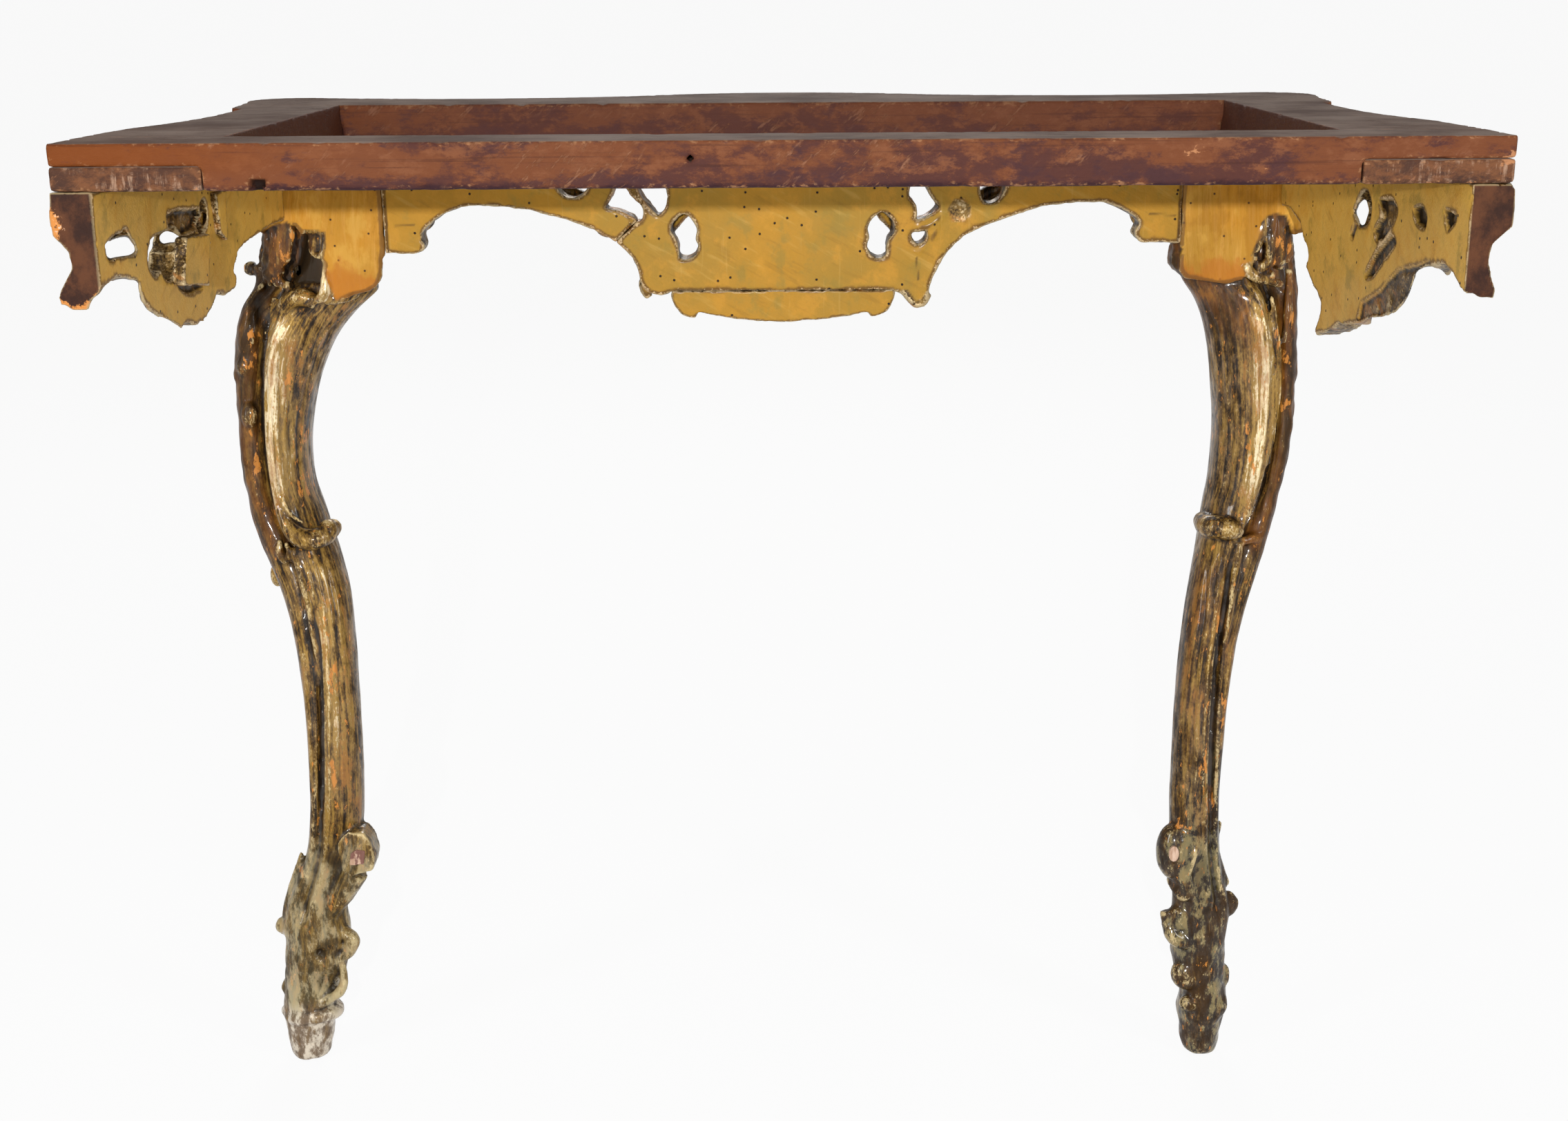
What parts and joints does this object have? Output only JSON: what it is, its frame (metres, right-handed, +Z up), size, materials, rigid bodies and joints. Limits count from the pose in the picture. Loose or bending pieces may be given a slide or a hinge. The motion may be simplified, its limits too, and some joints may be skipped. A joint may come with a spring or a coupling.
{
  "type": "console table",
  "caption": "Wall console table frame with a serpentine half-lapped top frame, pierced carved aprons and tall gilded cabriole front legs, made to carry a slab.",
  "frame": {"origin": "on the floor, under the middle of the whole table's box", "axes": "+Z up; +Y towards the wall, so the wall face is at y = 0.25 m; the front is at -Y; +X to the left of someone who looks at the table's back"},
  "size_m": [0.9148, 0.5, 0.877],
  "materials": {
    "stained_wood": "dark red-brown stain, dusty and scuffed, with chipped pale edges",
    "gilded_wood": "aged silver and gold leaf over gesso, worn through to brown in streaks",
    "ochre_wood": "matt ochre paint brushed on the flat backs, gilded carving in front",
    "bare_wood": "bare sawn wood"
  },
  "bodies": {
    "root": {"back_rail": "stained_wood", "front_rail": "stained_wood", "left_rail": "stained_wood", "right_rail": "stained_wood", "left_leg": "gilded_wood", "right_leg": "gilded_wood", "cartouche_shell": "gilded_wood", "left_front_scroll": "gilded_wood", "right_front_scroll": "gilded_wood", "front_apron": "ochre_wood", "front_apron_left_wing": "ochre_wood", "cartouche_strip": "ochre_wood", "left_side_apron": "ochre_wood", "right_side_apron": "ochre_wood", "left_side_block": "ochre_wood", "left_side_cleat": "ochre_wood", "lap_pegs": "bare_wood", "left_stub_plug": "bare_wood", "right_stub_plug": "bare_wood"}
  },
  "joints": []
}
